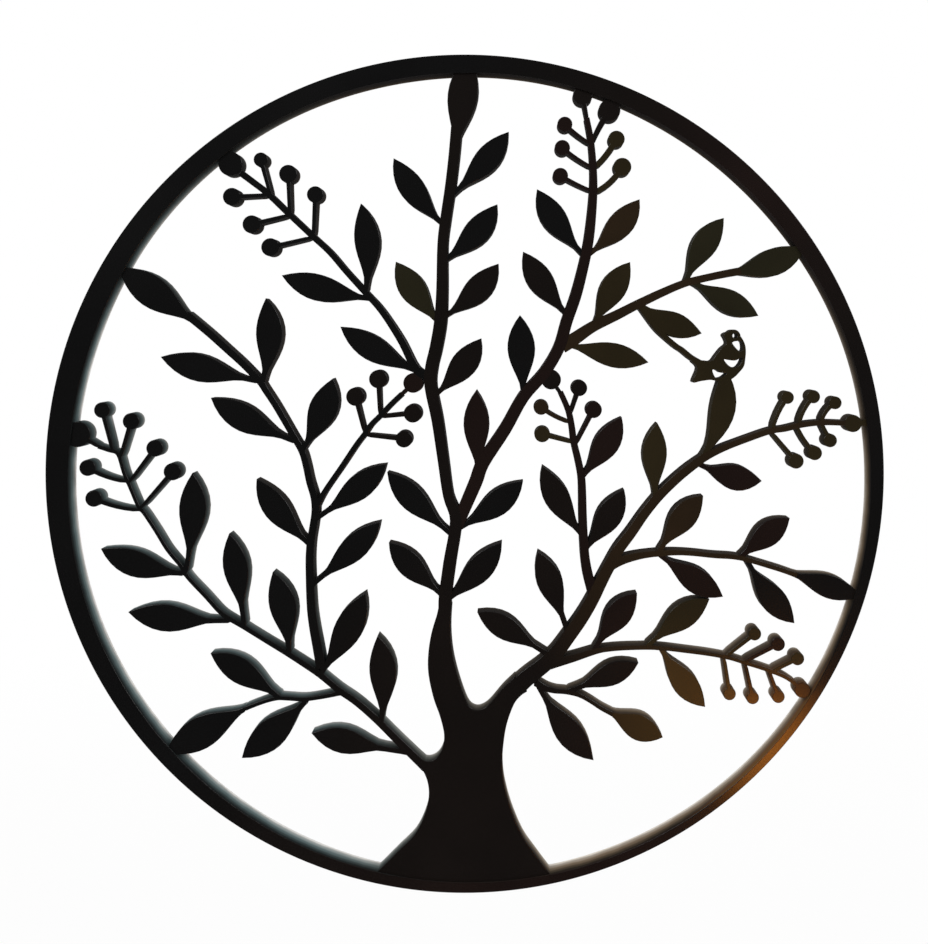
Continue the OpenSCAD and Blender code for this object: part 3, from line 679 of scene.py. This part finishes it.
@dataclass
class Plate:
    """One flat painted piece of the tree, with rounded edges where it is free.

    Where it touches its neighbours the rounding fades out, so the joint stays closed.
    """

    node: str
    outline: Outline
    neighbours: np.ndarray
    tones: tuple[Tone, ...]
    profile: EdgeProfile = field(default_factory=EdgeProfile)
    corner_turn: float = math.radians(38)
    longest_mitre: float = 1.5
    # How much painted sheen this piece's walls carry.
    wall_sheen_level: float = 0.8

    def insets(self) -> tuple[np.ndarray, np.ndarray]:
        """How each outline point moves inwards, and each edge's outward normal.

        A point moves along the sum of its two edges' inward normals over one plus their
        dot product, held to a longest mitre, times a share that is 0 at a joint.

        Returns:
            The moves for an inset of one, and the outward normals.
        """
        shape = self.outline
        way = unit(shape.points[shape.ends] - shape.points[shape.starts])
        outward = np.stack([way[:, 1], -way[:, 0]], 1)
        count = len(shape.points)
        total = np.zeros((count, 2))
        np.add.at(total, shape.starts, -outward)
        np.add.at(total, shape.ends, -outward)
        uses = np.bincount(shape.starts, minlength=count)
        length = np.linalg.norm(total, axis=1, keepdims=True)
        mitre = unit(total) * np.minimum(2 / np.maximum(length, 1e-6), self.longest_mitre)
        mitre[(uses != 1) | (length[:, 0] < 0.2)] = 0
        gap = distance_to(shape.points, self.neighbours)
        share = np.clip((gap - JOINT_GAP) / JOINT_FADE, 0, 1)
        return mitre * share[:, None], outward

    def corner_normals(self, outward: np.ndarray) -> tuple[np.ndarray, np.ndarray]:
        """Outward normals at both ends of each edge, averaged over a gentle turn.

        Args:
            outward: The edges' outward normals.

        Returns:
            The normals at the edges' starts and at their ends.
        """
        shape = self.outline
        count = len(shape.points)
        before = np.full(count, -1)
        after = np.full(count, -1)
        before[shape.ends] = np.arange(len(shape.ends))
        after[shape.starts] = np.arange(len(shape.starts))
        results = []
        for other in (before[shape.starts], after[shape.ends]):
            beside = outward[other]
            gentle = (outward * beside).sum(1) > math.cos(self.corner_turn)
            results.append(np.where((gentle & (other >= 0))[:, None],
                                    unit(outward + beside), outward))
        return results[0], results[1]

    def build(self) -> bpy.types.Object:
        """Builds the plate: two flat faces and the edge profile carried round the outline.

        Returns:
            The new piece, which stands for the CAD node.
        """
        low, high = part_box(self.node)
        shape = self.outline
        inset, depth, turn = self.profile.rows(low.y, high.y)
        move, outward = self.insets()
        at_start, at_end = self.corner_normals(outward)
        count, rows = len(shape.points), len(inset)
        flat = shape.points[None] + move[None] * inset[:, None, None]
        points = np.stack([flat[..., 0], np.broadcast_to(depth[:, None], (rows, count)),
                           flat[..., 1]], -1).reshape(-1, 3)
        level = np.arange(rows - 1)[:, None] * count
        start, end = shape.starts[None], shape.ends[None]
        walls = np.stack([end + level, start + level, start + level + count,
                          end + level + count], -1).reshape(-1, 4)

        def carried(side: np.ndarray, row: np.ndarray) -> np.ndarray:
            """Normals of one side of the wall's faces on their rows."""
            out = side[None] * row[:, None, :1]
            along = np.broadcast_to(row[:, None, 1], out.shape[:2])
            return np.stack([out[..., 0], along, out[..., 1]], -1)

        sides = np.stack([carried(at_end, turn[:-1]), carried(at_start, turn[:-1]),
                          carried(at_start, turn[1:]), carried(at_end, turn[1:])], 2)
        cap = shape.triangles
        facing = np.broadcast_to(np.array([0.0, 1.0, 0.0]), (len(cap), 3, 3))
        # A tone's alpha is how much painted sheen the piece's walls carry.
        palette = np.array([(*tone.value, self.wall_sheen_level) for tone in self.tones])
        coat = palette[np.minimum(separate_pieces(shape), len(palette) - 1)]
        return add_mesh(f"{self.node}_plate", points,
                        [cap, walls, cap[:, ::-1] + (rows - 1) * count],
                        [-facing, sides.reshape(-1, 4, 3), facing],
                        np.tile(coat, (rows, 1)))


@dataclass
class RimBand:
    """The rim: a band between an outer circle and an opening that isn't quite round."""

    node: str
    outline: Outline
    neighbours: np.ndarray
    tones: tuple[Tone, ...]
    profile: EdgeProfile = field(default_factory=EdgeProfile)
    steps: int = 720
    smooth_steps: int = 6

    def edges(self) -> tuple[np.ndarray, float, np.ndarray, np.ndarray, np.ndarray]:
        """The outer circle, and the opening's edge read from the CAD node's own outline.

        The distances of the opening's points from their mean are joined up by straight
        changes over the turn.

        Returns:
            The outer centre and radius, the opening's middle, the angles of the steps round
            it and the opening's radius at each of them.
        """
        rim = self.outline.points[np.unique(self.outline.starts)]
        low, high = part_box(self.node)
        centre = np.array([(low.x + high.x) / 2, (low.z + high.z) / 2])
        radius = (high.x - low.x) / 2
        inner = rim[np.linalg.norm(rim - centre, axis=1) < radius - 1.0 * MM]
        hole = inner.mean(0)
        turns = np.arctan2(inner[:, 1] - hole[1], inner[:, 0] - hole[0])
        angle = np.linspace(0, 2 * math.pi, self.steps, endpoint=False)
        reach = np.interp(angle, turns, np.linalg.norm(inner - hole, axis=1),
                          period=2 * math.pi)
        log.info("rim: outer radius %.2f mm, opening radius %.2f to %.2f mm", radius / MM,
                 reach.min() / MM, reach.max() / MM)
        return centre, radius, hole, angle, reach

    def opening_normals(self, ray: np.ndarray, reach: np.ndarray) -> np.ndarray:
        """Normals of the opening's edge, away from its middle.

        With the radius r as a function of the angle, the normal is r times the ray less the
        change of r by angle times the ray turned left; the change is taken over a few steps.

        Args:
            ray: The directions from the middle.
            reach: The opening's radius along them.

        Returns:
            One normal for each direction.
        """
        wide = self.smooth_steps
        change = (np.roll(reach, -wide) - np.roll(reach, wide)) / (4 * math.pi * wide)
        left = np.stack([-ray[:, 1], ray[:, 0]], -1)
        return unit(ray * reach[:, None] - left * (change * self.steps)[:, None])

    def coat(self, angle: np.ndarray, rows: int) -> np.ndarray:
        """The paint's tones, mixed round the rim, with no painted sheen on the outer wall.

        Args:
            angle: The angles of the steps.
            rows: How many rows the section has; the first half is the outer wall.

        Returns:
            The coat attribute's values, row by row.
        """
        turns = len(self.tones)
        near = angle / (2 * math.pi) * turns
        step_back = np.floor(near).astype(int)
        mix = (near - step_back)[:, None]
        palette = np.array([tone.value for tone in self.tones])
        tone = palette[step_back % turns] * (1 - mix) + palette[(step_back + 1) % turns] * mix
        # Only the opening's walls carry the painted sheen.
        sheen_levels = (np.arange(rows) >= rows // 2).astype(float)
        return np.concatenate([np.column_stack([tone, np.full(len(tone), share)])
                               for share in sheen_levels])

    def build(self) -> bpy.types.Object:
        """Builds the band: a closed section carried once round.

        The section has the outer edge's rows from front to back and the opening's rows
        from back to front. Each row's radius is its edge's, less or plus its inset; the
        opening's inset fades where the tree meets the rim.

        Returns:
            The new piece, which stands for the CAD node.
        """
        low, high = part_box(self.node)
        centre, radius, hole, angle, reach = self.edges()
        ray = np.stack([np.cos(angle), np.sin(angle)], -1)
        inset, depth, turn = self.profile.rows(low.y, high.y)
        gap = distance_to(hole + ray * reach[:, None], self.neighbours)
        share = np.clip((gap - JOINT_GAP) / JOINT_FADE, 0, 1)
        outer = centre + ray[None] * (radius - inset)[:, None, None]
        inner = hole + ray[None] * (reach + inset[::-1, None] * share)[..., None]
        flat = np.concatenate([outer, inner])
        level = np.concatenate([depth, depth[::-1]])
        rows = len(level)
        wide = (rows, self.steps)
        points = np.stack([flat[..., 0], np.broadcast_to(level[:, None], wide),
                           flat[..., 1]], -1)
        out = np.concatenate([ray[None] * turn[:, :1, None], self.opening_normals(ray, reach)
                              * -turn[::-1, :1, None]])
        along = np.concatenate([turn[:, 1], turn[::-1, 1]])
        normals = np.stack([out[..., 0], np.broadcast_to(along[:, None], wide),
                            out[..., 1]], -1)
        row = np.arange(rows)[:, None]
        step = np.arange(self.steps)[None]
        ahead, beside = (row + 1) % rows, (step + 1) % self.steps
        corners = [row * self.steps + step, ahead * self.steps + step,
                   ahead * self.steps + beside, row * self.steps + beside]
        faces = np.stack(np.broadcast_arrays(*corners), -1).reshape(-1, 4)
        return add_mesh(f"{self.node}_band", points.reshape(-1, 3), [faces],
                        [normals.reshape(-1, 3)[faces]], self.coat(angle, rows))


# ---- Sub-assemblies -------------------------------------------------------------------------

# Tones of the coat. A node's separate pieces take theirs from the highest to the lowest, and
# those after the last tone share it. The rim's go round from the right, counter-clockwise.
# The warm tones on the right and lower right partly stand for a painted warm reflection.
TONES: dict[str, tuple[Tone, ...]] = {
    "rim": (Tone.CHARCOAL, Tone.EBONY, Tone.UMBER, Tone.EBONY, Tone.CHARCOAL, Tone.CHARCOAL,
            Tone.CHARCOAL, Tone.CHARCOAL, Tone.CHARCOAL, Tone.CHARCOAL, Tone.CHARCOAL,
            Tone.EBONY, Tone.UMBER, Tone.UMBER, Tone.EBONY, Tone.CHARCOAL),
    "trunk": (Tone.EBONY,),
    "centre_stem": (Tone.EBONY,),
    "crown_stem": (Tone.UMBER,),
    "right_bough": (Tone.BRONZE,),
    "right_upright": (Tone.UMBER,),
    "right_branch": (Tone.BRONZE,),
    "upper_right_branch": (Tone.BRONZE,),
    "lower_right_branch": (Tone.BRONZE,),
    "low_right_twig": (Tone.BRONZE,),
    "bird_twig": (Tone.OLIVE,),
    "bird": (Tone.OLIVE,),
    "top_leaf": (Tone.EBONY,),
    "centre_stem_leaves": (Tone.CHARCOAL, Tone.CHARCOAL, Tone.CHARCOAL, Tone.EBONY, Tone.MOSS,
                           Tone.EBONY),
    "fork_leaves": (Tone.CHARCOAL,),
    "crown_leaves": (Tone.CHARCOAL, Tone.BRONZE, Tone.EBONY, Tone.CHARCOAL, Tone.UMBER),
    "upper_right_leaves": (Tone.MOSS, Tone.MOSS, Tone.OLIVE, Tone.MOSS, Tone.OLIVE,
                           Tone.OLIVE),
    "right_bough_leaves": (Tone.OLIVE, Tone.OLIVE, Tone.UMBER, Tone.EBONY, Tone.EBONY),
    "right_upright_leaves": (Tone.UMBER, Tone.EBONY, Tone.EBONY),
    "right_branch_leaves": (Tone.BRONZE, Tone.UMBER, Tone.UMBER, Tone.CHARCOAL, Tone.CHARCOAL),
    "lower_right_leaves": (Tone.OLIVE, Tone.UMBER, Tone.BRASS_GLOW),
    "low_right_leaves": (Tone.EBONY, Tone.UMBER, Tone.BRASS_GLOW),
    "crown_berries": (Tone.EBONY, Tone.EBONY, Tone.UMBER, Tone.OLIVE, Tone.UMBER, Tone.OLIVE,
                      Tone.UMBER),
    "right_berries": (Tone.OLIVE,),
    "lower_right_berries": (Tone.OLIVE, Tone.UMBER, Tone.OLIVE, Tone.BRASS_GLOW, Tone.UMBER,
                            Tone.EBONY, Tone.UMBER),
    "berry_twig_berries": (Tone.EBONY, Tone.UMBER, Tone.EBONY),
    "right_upright_berries": (Tone.EBONY, Tone.EBONY, Tone.BRONZE, Tone.UMBER, Tone.OLIVE),
}


@dataclass
class PaintedTree:
    """The rim, the tree's stems, leaves and berries, and the bird."""

    hardware: tuple[str, ...]
    outlines: dict[str, Outline] = field(default_factory=dict)

    def read(self) -> None:
        """Reads the outline of every painted node."""
        for node in sorted(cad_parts):
            if node not in self.hardware:
                self.outlines[node] = outline_of(node)

    def others(self, node: str) -> np.ndarray:
        """The outer edges of every painted node but one."""
        return np.concatenate([shape.segments() for name, shape in self.outlines.items()
                               if name != node])

    def build(self) -> None:
        """Builds and dresses every painted piece."""
        self.read()
        low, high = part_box("rim")
        paint = SatinPaint(low.y, high.y).material()
        for node, shape in self.outlines.items():
            kind = RimBand if node == "rim" else Plate
            tones = TONES.get(node, (Tone.CHARCOAL,))
            piece = kind(node, shape, self.others(node), tones).build()
            piece.data.materials.append(paint)
            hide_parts(node)
            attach(piece, BODY)
            log.info("%s: %d faces, %s paint", piece.name, len(piece.data.polygons),
                     tones[0].name.lower())


@dataclass
class Hardware:
    """The hanger plate with its spacers and screws, and the wall pads, in their CAD shape."""

    metal: tuple[str, ...] = ("hanger_plate", "hanger_spacers", "hanger_screws")
    rubber: tuple[str, ...] = ("wall_pads",)
    edge: float = 0.12 * MM
    edge_turn: float = math.radians(40)

    def soften(self, node: str) -> None:
        """Merges a CAD node's triangles and rounds its edges, with modifiers.

        Args:
            node: The CAD node's name.
        """
        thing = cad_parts[node]
        weld = thing.modifiers.new("merge", "WELD")
        weld.merge_threshold = SAME_PLACE
        bevel = thing.modifiers.new("edge", "BEVEL")
        bevel.width = self.edge
        bevel.segments = 2
        bevel.limit_method = "ANGLE"
        bevel.angle_limit = self.edge_turn
        bevel.harden_normals = True

    def build(self) -> None:
        """Dresses the CAD nodes."""
        for nodes, finish in ((self.metal, ZincPlate()), (self.rubber, PadRubber())):
            material = finish.material()
            for node in nodes:
                self.soften(node)
                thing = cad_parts[node]
                thing.data.materials.clear()
                thing.data.materials.append(material)
                log.info("%s: dressed as %s", node, material.name)


@dataclass(frozen=True)
class Lamp:
    """A square soft lamp that looks at the ornament's middle; power in watts."""

    name: str
    place: tuple[float, float, float]
    power: float
    size: float
    colour: tuple[float, float, float] = (1.0, 1.0, 1.0)

    def build(self) -> None:
        """Adds the lamp to the scene."""
        data = bpy.data.lights.new(self.name, "AREA")
        data.energy = self.power
        data.size = self.size
        data.color = self.colour
        thing = bpy.data.objects.new(self.name, data)
        thing.location = self.place
        aim = -thing.location
        thing.rotation_euler = aim.to_track_quat("-Z", "Y").to_euler()
        bpy.context.scene.collection.objects.link(thing)


@dataclass
class Studio:
    """Camera, plain pale floor and soft lamps round the hanging ornament."""

    eye: tuple[float, float, float] = (0.0191, -0.3028, 0.0507)
    lens: float = 31.68
    shift: tuple[float, float] = (-0.0572, -0.1483)
    floor_drop: float = 0.35
    floor_side: float = 3.0
    floor_front: float = -0.25
    floor_fade: tuple[float, float] = (0.2, 1.2)
    floor_white: tuple[float, float] = (0.9, 1.0)
    surround_light: float = 0.55
    reflected_front: float = 0.02
    reflected_back: float = 0.6
    lamps: tuple[Lamp, ...] = (
        Lamp("left_softbox", (-1.3, -0.9, 1.2), 15.0, 0.9),
        Lamp("right_softbox", (1.4, -0.7, 0.9), 15.0, 0.9),
        Lamp("warm_lamp", (0.20, -0.30, -0.248), 0.13, 0.06, (1.0, 0.34, 0.04)))

    def camera(self) -> None:
        """Makes the camera: level, square to the front, close to the ornament."""
        data = bpy.data.cameras.new("camera")
        data.lens = self.lens
        data.shift_x, data.shift_y = self.shift
        data.clip_start = 0.01
        eye = bpy.data.objects.new("camera", data)
        eye.location = self.eye
        eye.rotation_euler = (math.radians(90), 0, 0)
        bpy.context.scene.collection.objects.link(eye)
        bpy.context.scene.camera = eye

    def floor(self) -> None:
        """Lays a wide pale floor well below the ornament, whiter towards the back."""
        side, front = self.floor_side, self.floor_front
        height = cad_low.z - self.floor_drop
        grid = np.array([[-side, front, height], [side, front, height],
                         [side, side, height], [-side, side, height]])
        up = np.broadcast_to(np.array([0.0, 0.0, 1.0]), (1, 4, 3))
        floor = add_mesh("floor", grid, [np.array([[0, 1, 2, 3]])], [up])
        material, nodes = new_material("pale_floor")
        place = nodes.add("ShaderNodeTexCoord").outputs["Object"]
        grain = nodes.ramp(nodes.noise(place, 6.0, 2.0), 0.2, 0.8)
        colour = nodes.blend(grain, (0.93, 0.93, 0.925, 1), (0.95, 0.95, 0.945, 1))
        shader = nodes.add("ShaderNodeBsdfPrincipled", Base_Color=colour, Roughness=0.9)
        white = nodes.add("ShaderNodeEmission", Color=(1, 1, 1, 1), Strength=1.0)
        seen = nodes.add("ShaderNodeLightPath").outputs["Is Camera Ray"]
        back = nodes.add("ShaderNodeSeparateXYZ", Vector=place).outputs[1]
        pale = nodes.ramp(back, *self.floor_fade, *self.floor_white)
        mixed = nodes.add("ShaderNodeMixShader")
        for key, value in ((0, nodes.math("MULTIPLY", seen, pale)), (1, shader.outputs[0]),
                           (2, white.outputs[0])):
            nodes.put(mixed, key, value)
        nodes.add("ShaderNodeOutputMaterial", Surface=mixed.outputs[0])
        floor.data.materials.append(material)

    def world(self) -> None:
        """A white background; reflections see it behind the ornament and a dim room before it."""
        world = bpy.data.worlds.new("world")
        bpy.context.scene.world = world
        world.use_nodes = True
        nodes = Nodes(world.node_tree)
        path = nodes.add("ShaderNodeLightPath")
        way = nodes.add("ShaderNodeTexCoord").outputs["Generated"]
        ahead = nodes.add("ShaderNodeSeparateXYZ", Vector=way).outputs[1]
        behind = nodes.ramp(ahead, 0.0, 0.5, self.reflected_front, self.reflected_back)
        shine = nodes.math("MAXIMUM", path.outputs["Is Glossy Ray"],
                           path.outputs["Is Transmission Ray"])
        seen = nodes.math("MULTIPLY", shine, behind)
        other = nodes.math("SUBTRACT", 1.0, shine)
        soft = nodes.math("MULTIPLY", other, self.surround_light)
        level = nodes.math("MAXIMUM", path.outputs["Is Camera Ray"],
                           nodes.math("ADD", seen, soft))
        ground = nodes.add("ShaderNodeBackground", Color=(1, 1, 1, 1), Strength=level)
        nodes.add("ShaderNodeOutputWorld", Surface=ground.outputs[0])

    def build(self) -> None:
        """Sets the view transform and makes the camera, floor, lamps and world."""
        bpy.context.scene.view_settings.view_transform = "Standard"
        self.camera()
        self.floor()
        self.world()
        for lamp in self.lamps:
            lamp.build()
        log.info("studio: camera, floor, world and %d lamps", len(self.lamps))


def main() -> None:
    """Builds the ornament's sub-assemblies in order, then the studio round them."""
    logging.basicConfig(level=logging.INFO, format="%(message)s")
    hardware = Hardware()
    PaintedTree(hardware=hardware.metal + hardware.rubber).build()
    hardware.build()
    Studio().build()


if __name__ == "__main__":
    main()
